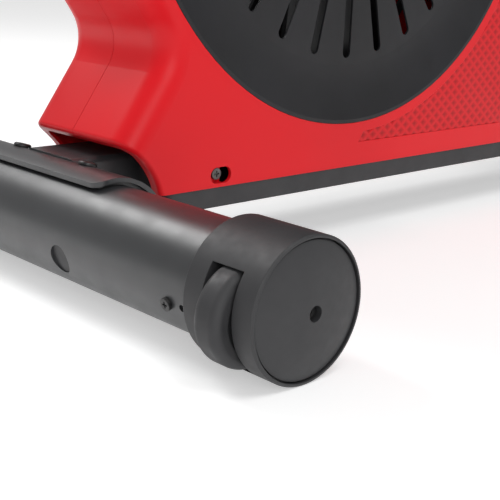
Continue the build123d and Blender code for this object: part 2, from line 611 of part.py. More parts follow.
with BuildPart() as shroud_screws:
    for name, sign in SIDES:
        face = abs(SHELL_X[name])
        for y, z in SCREW_SPOTS:
            screw(Vector(sign * (face - TAB[0]), y, z), Vector(sign, 0, 0))
        seat = Vector(sign * (face - FRONT_SCREW_IN), SKIRT_Y, FRONT_SCREW_Z)
        screw(seat - Vector(0, WASHER[1], 0), Vector(0, -1, 0))
        with BuildSketch(Plane(origin=seat, z_dir=(0, -1, 0))) as washer:
            Circle(WASHER[0])
        extrude(washer.sketch, amount=WASHER[1])
finish("shroud_screws", shroud_screws)

with BuildPart() as lower_skirt:
    tray_y = (SKIRT_Y, SHELL_END - 2)
    block(SKIRT_X, tray_y, SKIRT_Z)
    fillet(lower_skirt.edges().filter_by(Axis.Z), 6)
    block((SKIRT_X[0] + 3, SKIRT_X[1] - 3), (tray_y[0] + 3, tray_y[1] - 3),
          (SKIRT_Z[0] + 2.5, SKIRT_Z[1]), Mode.SUBTRACT)
    block((SKIRT_X[0] + 3.3, SKIRT_X[1] - 3.3), (SKIRT_Y, SKIRT_Y + 3),
          (SKIRT_Z[0] + 2.5, SKIRT_FRONT_Z))
    for name, sign in SIDES:
        face = abs(SHELL_X[name])
        lug = sign * (face - TAB[1])
        for y, z in SCREW_SPOTS:
            block(sorted((lug, lug - sign * 7)), (y - 8, y + 8), (SKIRT_Z[0] + 2.5, z + 8))
            bar_x(y, z, SCREW[2] + 0.1, lug, lug - sign * 7, Mode.SUBTRACT)
        with BuildSketch(Plane.XZ.offset(-SKIRT_Y)) as bore:
            with Locations((sign * (face - FRONT_SCREW_IN), FRONT_SCREW_Z)):
                Circle(SCREW[2] + 0.1)
        extrude(bore.sketch, amount=-4, mode=Mode.SUBTRACT)
    block((-BEAM_HALF - GAP, BEAM_HALF + GAP), (Y_FRONT, Y_REAR), (BEAM_Z[0] - GAP, BEAM_Z[1] + GAP),
          Mode.SUBTRACT)
    block((-PLATE_X[1] - GAP, PLATE_X[1] + GAP), (FAN_Y - 62, FAN_Y + 62), (BEAM_Z[0], BEAM_Z[1] + 4),
          Mode.SUBTRACT)
finish("lower_skirt", lower_skirt)


def fan_guard(name, sign):
    """Dished ring with radial vents round a closed centre, seated flush in the shroud."""
    face = abs(SHELL_X[name])
    rise = GUARD_DEPTH[name]
    floor = face - rise
    bowl = DISH_R - 3
    with BuildPart() as guard:
        with BuildSketch(Plane.XY) as half:
            with BuildLine():
                Polyline((face - 2, bowl), (face - 1.5, bowl), (face - 1.5, DISH_R), (face, DISH_R),
                         (face, bowl))
                ThreePointArc((face, bowl), (floor + rise / 4, bowl - 22), (floor, bowl - 44))
                Line((floor, bowl - 44), (floor, 62))
                ThreePointArc((floor, 62), (floor + 3.6, 36), (floor + 5, 0))
                Line((floor + 5, 0), (floor + 3, 0))
                ThreePointArc((floor + 3, 0), (floor + 1.6, 36), (floor - 2, 62))
                Line((floor - 2, 62), (floor - 2, bowl - 44))
                ThreePointArc((floor - 2, bowl - 44), (floor - 2 + rise / 4, bowl - 22),
                              (face - 2, bowl))
            make_face()
        revolve(half.sketch, axis=Axis.X)
        with BuildSketch(side(floor + 3)) as vents:
            with PolarLocations(126, VENTS):
                SlotOverall(106, 9)
        extrude(vents.sketch, amount=-8, mode=Mode.SUBTRACT)
        bar_x(0, PEG_Z - FAN_Z, 16, floor - 2, floor, Mode.ADD)
        bar_x(0, PEG_Z - FAN_Z, 20, floor - 2, floor + 2, Mode.ADD)
        bar_x(0, PEG_Z - FAN_Z, 14.5, floor - 4, floor + 4, Mode.SUBTRACT)
    with BuildPart() as placed:
        centred = guard.part if sign > 0 else guard.part.mirror(Plane.YZ)
        add(centred.moved(Location((0, FAN_Y, FAN_Z))))
    return placed


for name, sign in SIDES:
    finish(f"fan_guard_{name}", fan_guard(name, sign))

# ---------------------------------------------------------------- fan and drive
with BuildPart() as fan_shaft:
    bar_x(FAN_Y, FAN_Z, FAN_SHAFT_R - FIT, -BOSS_X - 1, PULLEY_X[1])
finish("fan_shaft", fan_shaft)

with BuildPart() as fan_wheel:
    bar_x(FAN_Y, FAN_Z, 38, -FAN_HALF, FAN_HALF)
    for x in (-FAN_HALF, FAN_HALF - 3):
        with BuildSketch(side(x)) as ring:
            with Locations((FAN_Y, FAN_Z)):
                Circle(FAN_R)
                Circle(FAN_R - 9, mode=Mode.SUBTRACT)
        extrude(ring.sketch, amount=3)
    for step in range(BLADES):
        turn = step * 360 / BLADES
        facing = Vector(0, cos(radians(turn)), sin(radians(turn)))
        blade_plane = Plane(origin=Vector(0, FAN_Y, FAN_Z) + facing * 34, x_dir=(1, 0, 0), z_dir=facing)
        with BuildSketch(blade_plane) as blade:
            Rectangle(2 * FAN_HALF - 8, 2.4)
        extrude(blade.sketch, amount=FAN_R - 38)
        with BuildSketch(blade_plane.offset(FAN_R - 60)) as tab:
            Rectangle(2 * FAN_HALF, 2.4)
        extrude(tab.sketch, amount=22)
    bar_x(FAN_Y, FAN_Z, FAN_SHAFT_R - FIT, -FAN_HALF, FAN_HALF, Mode.SUBTRACT)
finish("fan_wheel", fan_wheel)

with BuildPart() as fan_pulley:
    bar_x(FAN_Y, FAN_Z, FAN_PULLEY_R, *PULLEY_X)
    bar_x(FAN_Y, FAN_Z, FAN_SHAFT_R - FIT, *PULLEY_X, Mode.SUBTRACT)
finish("fan_pulley", fan_pulley)

with BuildPart() as crank_spindle:
    bar_x(CRANK_Y, CRANK_Z, SPINDLE_R, -ARM_X[1], ARM_X[1])
finish("crank_spindle", crank_spindle)

with BuildPart() as crank_pulley:
    bar_x(CRANK_Y, CRANK_Z, CRANK_PULLEY_R, *PULLEY_X)
    for x, depth in ((PULLEY_X[0], 4), (PULLEY_X[1], -4)):
        with BuildSketch(side(x)) as dish:
            with Locations((CRANK_Y, CRANK_Z)):
                Circle(CRANK_PULLEY_R - 12)
                Circle(26, mode=Mode.SUBTRACT)
        extrude(dish.sketch, amount=depth, mode=Mode.SUBTRACT)
    with BuildSketch(side(PULLEY_X[0])) as holes:
        with Locations((CRANK_Y, CRANK_Z)):
            with PolarLocations(66, 6):
                Circle(22)
            Circle(SPINDLE_R)
    extrude(holes.sketch, amount=PULLEY_X[1] - PULLEY_X[0], mode=Mode.SUBTRACT)
finish("crank_pulley", crank_pulley)

with BuildPart() as drive_belt:
    with BuildSketch(side(PULLEY_X[0] + 1)) as loop:
        strap((FAN_Y, FAN_Z, FAN_PULLEY_R + 3.8), (CRANK_Y, CRANK_Z, CRANK_PULLEY_R + 3.8))
        strap((FAN_Y, FAN_Z, FAN_PULLEY_R + GAP), (CRANK_Y, CRANK_Z, CRANK_PULLEY_R + GAP),
              Mode.SUBTRACT)
    extrude(loop.sketch, amount=PULLEY_X[1] - PULLEY_X[0] - 2)
finish("drive_belt", drive_belt)

# linkage at rest: the lever stands square to the push rod
PIVOT = Vector(0, PIVOT_Y, PIVOT_Z)
CRANK = Vector(0, CRANK_Y, CRANK_Z)
to_crank = CRANK - PIVOT
rod_len = (to_crank.length ** 2 - LEVER_LEN ** 2) ** 0.5
swing = degrees(acos(LEVER_LEN / to_crank.length))
lever_dir = to_crank.normalized().rotate(Axis.X, -swing)
LEVER_PIN = PIVOT + lever_dir * LEVER_LEN
rod_dir = (CRANK - LEVER_PIN).normalized()
throw_dir = rod_dir.rotate(Axis.X, 90)


def crank_arm(sign):
    """Crank arm with the stud that faces the push rod, and the pedal thread at its end."""
    stud = CRANK + throw_dir * (sign * LINK_R)
    end = CRANK + throw_dir * (sign * CRANK_LEN)
    with BuildPart() as arm:
        with BuildSketch(side(sign * ARM_X[0])) as outline:
            strap((CRANK_Y, CRANK_Z, 20), (end.Y, end.Z, 14))
        extrude(outline.sketch, amount=sign * (ARM_X[1] - ARM_X[0]))
        fillet(arm.faces().sort_by(Axis.X)[-1 if sign > 0 else 0].edges(), 3)
        bar_x(stud.Y, stud.Z, STUD_R, sign * (ROD_X[1] + 1.0), sign * ARM_X[0])
        bar_x(CRANK_Y, CRANK_Z, SPINDLE_R, sign * ARM_X[0], sign * ARM_X[1], Mode.SUBTRACT)
        bar_x(end.Y, end.Z, PEDAL_SPINDLE_R, sign * ARM_X[0], sign * ARM_X[1], Mode.SUBTRACT)
    return arm


def pedal(sign):
    """Wide platform pedal on its spindle."""
    end = CRANK + throw_dir * (sign * CRANK_LEN)
    x0, x1 = sign * PEDAL_X[0], sign * PEDAL_X[1]
    length, height = PEDAL_HALF
    with BuildPart() as body:
        block((x0, x1), (end.Y - length, end.Y + length), (end.Z - height, end.Z + height))
        fillet(body.edges().filter_by(Axis.X), 8)
        fillet(body.edges().filter_by(Axis.Z), 6)
        for step in (-1, 1):
            y = end.Y + step * 29
            block((x0 + sign * 12, x1 - sign * 12), (y - 11, y + 11), (end.Z - 20, end.Z + 20),
                  Mode.SUBTRACT)
        bar_x(end.Y, end.Z, PEDAL_SPINDLE_R + FIT, x0, x1 - sign * 6, Mode.SUBTRACT)
    return body


with BuildPart() as pedal_spindles:
    for _, sign in SIDES:
        end = CRANK + throw_dir * (sign * CRANK_LEN)
        bar_x(end.Y, end.Z, PEDAL_SPINDLE_R, sign * ARM_X[0], sign * (PEDAL_X[1] - 6.5))
        bar_x(end.Y, end.Z, PEDAL_SPINDLE_R + 3, sign * (ARM_X[1] + 0.1), sign * (PEDAL_X[0] - 0.6))
finish("pedal_spindles", pedal_spindles)

for name, sign in SIDES:
    finish(f"crank_arm_{name}", crank_arm(sign))
    finish(f"pedal_{name}", pedal(sign))


# ---------------------------------------------------------------- handle arms
GRIP_BEND = [(80, PIVOT_Y, 668), (80, PIVOT_Y - 6, 760), (228, PIVOT_Y - 40, 1020),
             (228, PIVOT_Y - 52, 1165), (228, PIVOT_Y + 90, 1185)]


def handle_arm(sign):
    """Hub, hand tube and lower lever, welded together."""
    points = [(sign * x, y, z) for x, y, z in GRIP_BEND]
    with BuildLine() as route:
        FilletPolyline(*points, radius=55)
    with BuildPart() as arm:
        with BuildSketch(Plane(origin=route.line @ 0, z_dir=route.line % 0)) as section:
            Circle(HAND_TUBE_R)
        sweep(section.sketch, path=route.line)
        bar_x(PIVOT_Y, PIVOT_Z, 23, sign * HUB_X[0], sign * HUB_X[1])
        with BuildSketch(side(sign * LEVER_X[0])) as lever:
            strap((PIVOT_Y, PIVOT_Z, 22), (LEVER_PIN.Y, LEVER_PIN.Z, 16))
        extrude(lever.sketch, amount=sign * (LEVER_X[1] - LEVER_X[0]))
        bar_x(PIVOT_Y, PIVOT_Z, SPINDLE_R + FIT, sign * HUB_X[0], sign * HUB_X[1], Mode.SUBTRACT)
        bar_x(LEVER_PIN.Y, LEVER_PIN.Z, LINK_PIN_R, sign * (ROD_X[0] + 0.4), sign * LEVER_X[0])
        bar_x(LEVER_PIN.Y, LEVER_PIN.Z, LINK_PIN_R + 3, sign * LEVER_X[1], sign * (LEVER_X[1] + 5))
    return arm


def grip(sign):
    """Rubber sleeve over the last straight run of the hand tube."""
    end, corner = (Vector(sign * x, y, z) for x, y, z in (GRIP_BEND[-1], GRIP_BEND[-2]))
    back = (corner - end).normalized()
    with BuildPart() as sleeve:
        with BuildSketch(Plane(origin=end - back * GRIP_WALL, z_dir=back)) as outer:
            Circle(HAND_TUBE_R + GRIP_WALL)
        extrude(outer.sketch, amount=GRIP_LEN)
        fillet(sleeve.edges().filter_by(GeomType.CIRCLE), 3)
        with BuildSketch(Plane(origin=end, z_dir=back)) as bore:
            Circle(HAND_TUBE_R)
        extrude(bore.sketch, amount=GRIP_LEN, mode=Mode.SUBTRACT)
    return sleeve


def push_rod(sign):
    """Rod from the lever pin to the crank stud, an eye at each end."""
    stud = CRANK + throw_dir * (sign * LINK_R)
    x0, x1 = sign * ROD_X[0], sign * ROD_X[1]
    with BuildPart() as rod:
        with BuildSketch(side(x0)) as outline:
            strap((LEVER_PIN.Y, LEVER_PIN.Z, 10), (stud.Y, stud.Z, 10))
            for y, z, r in ((LEVER_PIN.Y, LEVER_PIN.Z, 15), (stud.Y, stud.Z, 19)):
                with Locations((y, z)):
                    Circle(r)
        extrude(outline.sketch, amount=x1 - x0)
        bar_x(LEVER_PIN.Y, LEVER_PIN.Z, LINK_PIN_R + FIT, x0, x1, Mode.SUBTRACT)
        bar_x(stud.Y, stud.Z, STUD_R + 0.5, x0 + sign * 3, x1, Mode.SUBTRACT)
    return rod


for name, sign in SIDES:
    finish(f"handle_arm_{name}", handle_arm(sign))
    finish(f"grip_{name}", grip(sign))
    finish(f"push_rod_{name}", push_rod(sign))

# ---------------------------------------------------------------- seat
SEAT_TOP = Vector(0, SEAT_BASE_Y, BEAM_Z[1]) + seat_axis * SEAT_POST_TO
RAIL = ((-20.0, 20.0), (SEAT_TOP.Y - 85, SEAT_TOP.Y + 85), (SEAT_TOP.Z - 10, SEAT_TOP.Z + 32))

with BuildPart() as seat_post:
    with BuildSketch(seat_plane.offset(SEAT_POST_FROM)) as disc:
        Circle(SEAT_POST_R)
    extrude(disc.sketch, amount=SEAT_POST_TO - SEAT_POST_FROM)
    with BuildSketch(seat_plane.offset(SEAT_POST_FROM)) as hollow:
        Circle(SEAT_POST_R - 3)
    extrude(hollow.sketch, amount=SEAT_POST_TO - SEAT_POST_FROM - 20, mode=Mode.SUBTRACT)
    block(*RAIL)
    with BuildSketch(seat_plane.offset(SEAT_POST_FROM + 20)) as groove:
        with Locations((0, SEAT_POST_R)):
            Rectangle(2 * KNOB_PIN_R + 0.6, 4)
    extrude(groove.sketch, amount=SEAT_POST_TO - SEAT_POST_FROM - 60, mode=Mode.SUBTRACT)
finish("seat_post", seat_post)

(rx0, rx1), (ry0, ry1), (rz0, rz1) = RAIL
mid = (ry0 + ry1) / 2
KNOB_Z = SEAT_TOP.Z + 21

with BuildPart() as seat_carriage:
    block((rx0 - 4 - GAP, rx1 + 4 + GAP), (mid - 40, mid + 40), (SEAT_TOP.Z + 9, rz1 + 5))
    block((rx0 - GAP, rx1 + GAP), (mid - 40, mid + 40), (rz0, rz1 + GAP), Mode.SUBTRACT)
    block((-34, 34), (mid - 55, mid + 55), (rz1 + 5, rz1 + 9))
    with BuildSketch(side(rx1 + GAP)) as bore:
        with Locations((mid, KNOB_Z)):
            Circle(SLIDE_PIN_R + FIT)
    extrude(bore.sketch, amount=12, mode=Mode.SUBTRACT)
finish("seat_carriage", seat_carriage)

with BuildPart() as slide_knob:
    bar_x(mid, KNOB_Z, SLIDE_PIN_R, rx1 + GAP + 0.4, rx1 + 16)
    bar_x(mid, KNOB_Z, SLIDE_KNOB_R, rx1 + 16, rx1 + 40)
    fillet(slide_knob.edges().filter_by(GeomType.CIRCLE).sort_by(Axis.X)[-1], 4)
finish("slide_knob", slide_knob)

with BuildPart() as height_knob:
    knob_plane = Plane(origin=clamp_origin, z_dir=seat_plane.y_dir)
    for start, length, radius in ((23.6, 36, KNOB_PIN_R), (52, 26, KNOB_R)):
        with BuildSketch(knob_plane.offset(start)) as disc:
            Circle(radius)
        extrude(disc.sketch, amount=length)
    fillet(height_knob.edges().filter_by(GeomType.CIRCLE).sort_by(Axis.Y)[-1], 4)
finish("height_knob", height_knob)


def seat_shape(z, height, size):
    """Saddle shape, wide at the back and rounded at the nose, scaled in plan by size."""
    def at(x, y):
        return x * size, mid + y * size

    with BuildPart() as shape:
        with BuildSketch(Plane.XY.offset(z)) as plan:
            with BuildLine():
                Spline(at(0, -135), at(32, -118), at(44, -50), at(80, 20), at(112, 88),
                       tangents=((1, 0), (0, 1)))
                ThreePointArc(at(112, 88), at(99.1, 119.1), at(68, 132))
                Line(at(68, 132), at(0, 132))
                Line(at(0, 132), at(0, -135))
            make_face()
            mirror(about=Plane.YZ)
        extrude(plan.sketch, amount=height)
    return shape


PAD_Z = rz1 + 9
seat_shell = seat_shape(PAD_Z, SHELL_H, 0.95)
finish("seat_shell", seat_shell)
seat_pad = seat_shape(PAD_Z + SHELL_H + GAP, PAD_H, 1.0)
finish("seat_pad", seat_pad)

# ---------------------------------------------------------------- console
console_y, console_z = POST_TOP[0], POST_TOP[1] + 26
with BuildPart() as console_bracket:
    block((-24, 24), (console_y - 24, console_y + 24), (POST_TOP[1] - 4, POST_TOP[1] + 4))
    for _, sign in SIDES:
        block(sorted((sign * 12, sign * 17)), (console_y - 9, console_y + 9),
              (POST_TOP[1] + 4, console_z + 7))
    bar_x(console_y, console_z, 4, -17, 17)
    post_end = Plane(origin=(0, *POST_TOP), x_dir=(1, 0, 0), z_dir=post_axis)
    with BuildSketch(post_end.offset(0.02)) as below:
        Circle(POST_R + 8)
    extrude(below.sketch, amount=-20, mode=Mode.SUBTRACT)
finish("console_bracket", console_bracket)

face_axis = Vector(0, sin(radians(CONSOLE_TILT)), cos(radians(CONSOLE_TILT)))
console_plane = Plane(origin=Vector(0, console_y, console_z) + face_axis * 14, x_dir=(1, 0, 0),
                      z_dir=face_axis)
with BuildPart() as console_housing:
    with BuildSketch(console_plane) as plan:
        RectangleRounded(CONSOLE[0], CONSOLE[1], 18)
    extrude(plan.sketch, amount=CONSOLE[2], taper=4)
    fillet(console_housing.faces().sort_by(Axis.Z)[-1].edges(), 3)
    with BuildSketch(console_plane.offset(CONSOLE[2] - WINDOW_DEPTH)) as window:
        with Locations((0, 14)):
            RectangleRounded(*WINDOW, 6)
    extrude(window.sketch, amount=5, mode=Mode.SUBTRACT)
    with BuildSketch(console_plane.offset(CONSOLE[2] - 6)) as wells:
        with Locations(*[(x, BUTTON_ROW) for _, x in BUTTONS]):
            Circle(WELL_R)
    extrude(wells.sketch, amount=10, mode=Mode.SUBTRACT)
    bar_x(console_y, console_z, 8, -11.7, 11.7)
    with BuildSketch(console_plane.offset(-14)) as lug:
        Rectangle(23.4, 16)
    extrude(lug.sketch, amount=18)
    bar_x(console_y, console_z, 4 + FIT, -12, 12, Mode.SUBTRACT)
finish("console_housing", console_housing)

with BuildPart() as console_lens:
    with BuildSketch(console_plane.offset(CONSOLE[2] - WINDOW_DEPTH)) as window:
        with Locations((0, 14)):
            RectangleRounded(WINDOW[0] - 0.4, WINDOW[1] - 0.4, 5.8)
    extrude(window.sketch, amount=2.2)
finish("console_lens", console_lens)

for label, x in BUTTONS:
    with BuildPart() as button:
        with BuildSketch(console_plane.offset(CONSOLE[2] - 4)) as disc:
            with Locations((x, BUTTON_ROW)):
                Circle(BUTTON_R)
        extrude(disc.sketch, amount=6)
        fillet(button.edges().filter_by(GeomType.CIRCLE).sort_by(Axis.Z)[-1], 1.5)
    finish(f"button_{label}", button)
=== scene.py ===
"""Looks of the air bike: materials, seat cushion, textured panels, light and camera.

Metres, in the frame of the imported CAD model: +Z up, -Y the front, +X the rider's left.
"""

import json
from math import cos, pi, radians, sin

import bmesh
import bpy
from mathutils import Matrix, Vector
from mathutils.bvhtree import BVHTree


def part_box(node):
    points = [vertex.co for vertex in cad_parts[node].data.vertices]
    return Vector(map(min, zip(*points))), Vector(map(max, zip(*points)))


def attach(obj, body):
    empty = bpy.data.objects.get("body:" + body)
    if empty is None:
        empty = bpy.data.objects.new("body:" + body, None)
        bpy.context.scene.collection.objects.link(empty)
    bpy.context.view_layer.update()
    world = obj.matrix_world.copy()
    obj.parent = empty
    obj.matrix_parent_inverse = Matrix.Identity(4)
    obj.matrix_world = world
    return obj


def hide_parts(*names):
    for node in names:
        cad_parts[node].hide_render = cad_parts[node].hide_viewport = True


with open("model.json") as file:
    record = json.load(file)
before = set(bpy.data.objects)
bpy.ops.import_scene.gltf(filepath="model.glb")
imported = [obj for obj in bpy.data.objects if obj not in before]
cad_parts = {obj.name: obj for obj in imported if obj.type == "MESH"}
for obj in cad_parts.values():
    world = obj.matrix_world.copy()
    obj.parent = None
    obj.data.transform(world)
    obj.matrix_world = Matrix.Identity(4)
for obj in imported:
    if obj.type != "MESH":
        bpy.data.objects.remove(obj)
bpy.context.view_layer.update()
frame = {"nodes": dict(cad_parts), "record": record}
scene = bpy.context.scene
nodes = frame["nodes"]
MM = 0.001


# ------------------------------------------------------------------ materials
class Finish:
    """A Principled material with short calls for the node patterns used on this bike."""

    def __init__(self, name, colour, roughness, edge_mm=0.5, **sockets):
        self.mat = bpy.data.materials.new(name)
        self.mat.use_nodes = True
        self.tree = self.mat.node_tree
        self.bsdf = self.tree.nodes["Principled BSDF"]
        self.colour = colour
        self.bsdf.inputs["Base Color"].default_value = (*colour, 1)
        self.bsdf.inputs["Roughness"].default_value = roughness
        for socket, value in sockets.items():
            self.bsdf.inputs[socket.replace("_", " ")].default_value = value
        self.coords = self.node("ShaderNodeTexCoord").outputs["Object"]
        rounded = self.node("ShaderNodeBevel", samples=4)
        rounded.inputs["Radius"].default_value = edge_mm * MM
        self.height = rounded.outputs["Normal"]

    def node(self, kind, **settings):
        made = self.tree.nodes.new(kind)
        for key, value in settings.items():
            setattr(made, key, value)
        return made

    def link(self, source, target):
        self.tree.links.new(source, target)

    def noise(self, scale, detail=3.0, roughness=0.5, stretch=(1, 1, 1)):
        """Noise at a scale in cycles per metre."""
        mapping = self.node("ShaderNodeMapping")
        mapping.inputs["Scale"].default_value = stretch
        self.link(self.coords, mapping.inputs["Vector"])
        texture = self.node("ShaderNodeTexNoise")
        texture.inputs["Scale"].default_value = scale
        texture.inputs["Detail"].default_value = detail
        texture.inputs["Roughness"].default_value = roughness
        self.link(mapping.outputs["Vector"], texture.inputs["Vector"])
        return texture.outputs["Fac"]

    def voronoi(self, scale, feature="F1"):
        texture = self.node("ShaderNodeTexVoronoi", feature=feature)
        texture.inputs["Scale"].default_value = scale
        self.link(self.coords, texture.inputs["Vector"])
        return texture.outputs["Distance"]

    def spread(self, value, low, high, out_low, out_high):
        ranged = self.node("ShaderNodeMapRange")
        for socket, number in (("From Min", low), ("From Max", high),
                               ("To Min", out_low), ("To Max", out_high)):
            ranged.inputs[socket].default_value = number
        self.link(value, ranged.inputs["Value"])
        return ranged.outputs["Result"]

    def rough(self, value, low, high):
        """Roughness that wanders between low and high with a pattern."""
        self.link(self.spread(value, 0.3, 0.7, low, high), self.bsdf.inputs["Roughness"])
        return self

    def tint(self, value, other, low=0.35, high=0.75):
        """Base colour that drifts towards another with a pattern."""
        mix = self.node("ShaderNodeMix", data_type="RGBA")
        current = self.bsdf.inputs["Base Color"]
        if current.is_linked:
            self.link(current.links[0].from_socket, mix.inputs["A"])
        else:
            mix.inputs["A"].default_value = (*self.colour, 1)
        mix.inputs["B"].default_value = (*other, 1)
        self.link(self.spread(value, low, high, 0, 1), mix.inputs["Factor"])
        self.link(mix.outputs["Result"], current)
        return self

    def bump(self, value, depth_mm, strength=1.0):
        """Surface relief of a given depth; calls stack."""
        relief = self.node("ShaderNodeBump")
        relief.inputs["Strength"].default_value = strength
        relief.inputs["Distance"].default_value = depth_mm * MM
        self.link(value, relief.inputs["Height"])
        self.link(self.height, relief.inputs["Normal"])
        self.height = relief.outputs["Normal"]
        self.link(self.height, self.bsdf.inputs["Normal"])
        return self


def powder_coat():
    """Satin black powder coat: faint orange peel and a slow drift of tone."""
    f = Finish("powder_coat", (0.028, 0.029, 0.031), 0.36, Metallic=0.0, IOR=1.62)
    f.bump(f.noise(900, 2), 0.02, 0.4)
    f.bump(f.noise(180, 2), 0.02, 0.25)
    f.rough(f.noise(60, 4), 0.32, 0.41)
    return f.tint(f.noise(12, 3), (0.034, 0.035, 0.038))


def grained_plastic():
    """Moulded black plastic with fine spark-eroded grain."""
    f = Finish("grained_plastic", (0.028, 0.028, 0.03), 0.52, IOR=1.46)
    f.bump(f.noise(2600, 2), 0.03, 0.6)
    f.bump(f.noise(500, 2), 0.02, 0.3)
    f.rough(f.noise(160, 4), 0.5, 0.58)
    return f.tint(f.noise(25, 3), (0.035, 0.035, 0.037))


def guard_plastic():
    """The fan guards' plastic: darker and a little smoother than the caps."""
    f = Finish("guard_plastic", (0.012, 0.012, 0.0135), 0.42, IOR=1.42)
    f.bump(f.noise(2200, 2), 0.02, 0.5)
    f.rough(f.noise(70, 4), 0.38, 0.5)
    return f.tint(f.noise(14, 3), (0.016, 0.016, 0.019))


def skirt_plastic():
    """Matt black sheet plastic of the tray under the shroud."""
    f = Finish("skirt_plastic_grain", (0.03, 0.03, 0.032), 0.6)
    f.bump(f.noise(1800, 2), 0.05, 0.6)
    f.rough(f.noise(70, 4), 0.55, 0.68)
    return f.tint(f.noise(20, 3), (0.038, 0.038, 0.04))


def wheel_plastic():
    """Hard wheel plastic, scuffed where it rolls."""
    f = Finish("wheel_tread", (0.022, 0.022, 0.024), 0.58)
    f.bump(f.noise(1500, 3), 0.05, 0.6)
    f.rough(f.noise(120, 4), 0.48, 0.7)
    return f.tint(f.noise(60, 4), (0.036, 0.036, 0.038))


def red_shell(name="red_shell", painted_shade=1.0):
    """Injection-moulded red plastic with a very fine satin grain; painted_shade below 1 gives a darker
    copy as painted shade.
    """
    f = Finish(name, (0.68 * painted_shade, 0.006 * painted_shade, 0.012 * painted_shade), 0.33, edge_mm=0.4,
               Specular_IOR_Level=0.24)
    f.bump(f.noise(1900, 2), 0.02, 0.5)
    f.rough(f.noise(40, 4), 0.3, 0.38)
    return f.tint(f.noise(6, 3), (0.72 * painted_shade, 0.008 * painted_shade, 0.014 * painted_shade))


def black_steel():
    """Oxide-black fasteners and crank arms."""
    f = Finish("black_steel_oxide", (0.03, 0.03, 0.032), 0.38, Metallic=0.6)
    f.bump(f.noise(1200, 3), 0.02, 0.5)
    f.rough(f.noise(300, 4), 0.3, 0.48)
    return f.tint(f.noise(180, 4), (0.055, 0.053, 0.051))


def zinc_plate():
    """Bright zinc with slight clouding."""
    f = Finish("zinc_plate", (0.6, 0.61, 0.63), 0.3, Metallic=1.0)
    f.bump(f.noise(900, 3), 0.01, 0.4)
    f.rough(f.noise(250, 4), 0.22, 0.4)
    return f.tint(f.noise(150, 3), (0.52, 0.52, 0.5))


def zinc_painted_shade():
    """Zinc darkened as painted shade, for the screws in their recesses."""
    f = Finish("zinc_painted_shade", (0.2, 0.2, 0.2), 0.5, Metallic=1.0)
    f.bump(f.noise(900, 3), 0.01, 0.4)
    f.rough(f.noise(250, 4), 0.45, 0.6)
    return f.tint(f.noise(150, 3), (0.15, 0.15, 0.14))


def threaded_zinc():
    """Zinc with the thread's turns as bands along Z."""
    f = Finish("threaded_zinc", (0.58, 0.59, 0.6), 0.32, Metallic=1.0, edge_mm=0.3)
    bands = f.node("ShaderNodeTexWave", wave_type="BANDS", bands_direction="Z")
    bands.inputs["Scale"].default_value = 180
    f.link(f.coords, bands.inputs["Vector"])
    f.bump(bands.outputs["Fac"], 0.5, 0.7)
    f.rough(f.noise(250, 4), 0.25, 0.42)
    return f.tint(f.noise(150, 3), (0.5, 0.5, 0.48))


def polished_chrome():
    """Chrome plate with faint hairlines and finger haze."""
    f = Finish("polished_chrome", (0.78, 0.79, 0.81), 0.08, Metallic=1.0)
    f.bump(f.noise(40, 2, stretch=(1, 1, 0.2)), 0.02, 0.3)
    f.rough(f.noise(80, 5), 0.05, 0.16)
    return f.tint(f.noise(200, 3), (0.72, 0.73, 0.76))


def turned_alloy():
    """Turned aluminium and ground bearing rings."""
    f = Finish("turned_alloy", (0.66, 0.67, 0.68), 0.35, Metallic=1.0, Anisotropic=0.4)
    f.bump(f.noise(1500, 2), 0.01, 0.4)
    f.rough(f.noise(100, 4), 0.28, 0.42)
    return f.tint(f.noise(60, 3), (0.58, 0.59, 0.61))


def fan_metal():
    """Pressed fan blades in satin black."""
    f = Finish("fan_metal", (0.03, 0.03, 0.033), 0.42, Metallic=0.3)
    f.bump(f.noise(800, 2), 0.02, 0.5)
    f.rough(f.noise(80, 4), 0.36, 0.5)
    return f.tint(f.noise(30, 3), (0.045, 0.045, 0.05))


def soft_rubber(name, colour):
    """Dull rubber or foam with an open grain."""
    f = Finish(name, colour, 0.78, IOR=1.5)
    f.bump(f.noise(1600, 3), 0.06, 0.7)
    f.rough(f.noise(120, 4), 0.7, 0.86)
    return f.tint(f.noise(60, 4), tuple(c * 1.6 for c in colour))


def seat_leather():
    """Black leather-grain vinyl."""
    f = Finish("seat_leather", (0.024, 0.024, 0.026), 0.5, IOR=1.5)
    f.bump(f.voronoi(420), 0.25, 0.5)
    f.bump(f.noise(1400, 2), 0.04, 0.5)
    f.rough(f.noise(90, 4), 0.42, 0.6)
    return f.tint(f.noise(30, 4), (0.036, 0.036, 0.039))


def display_glass():
    """Smoked display window."""
    f = Finish("display_glass", (0.012, 0.013, 0.014), 0.1, IOR=1.5)
    f.bump(f.noise(30, 2), 0.01, 0.2)
    f.rough(f.noise(60, 4), 0.06, 0.14)
    return f.tint(f.noise(8, 2), (0.018, 0.02, 0.02))


def display_face():
    """Grey-green liquid crystal area of the display."""
    f = Finish("display_face", (0.2, 0.24, 0.19), 0.3, IOR=1.5, edge_mm=0.05)
    f.bump(f.noise(900, 2), 0.005, 0.3)
    f.rough(f.noise(60, 4), 0.24, 0.36)
    return f.tint(f.noise(20, 2), (0.23, 0.27, 0.21))


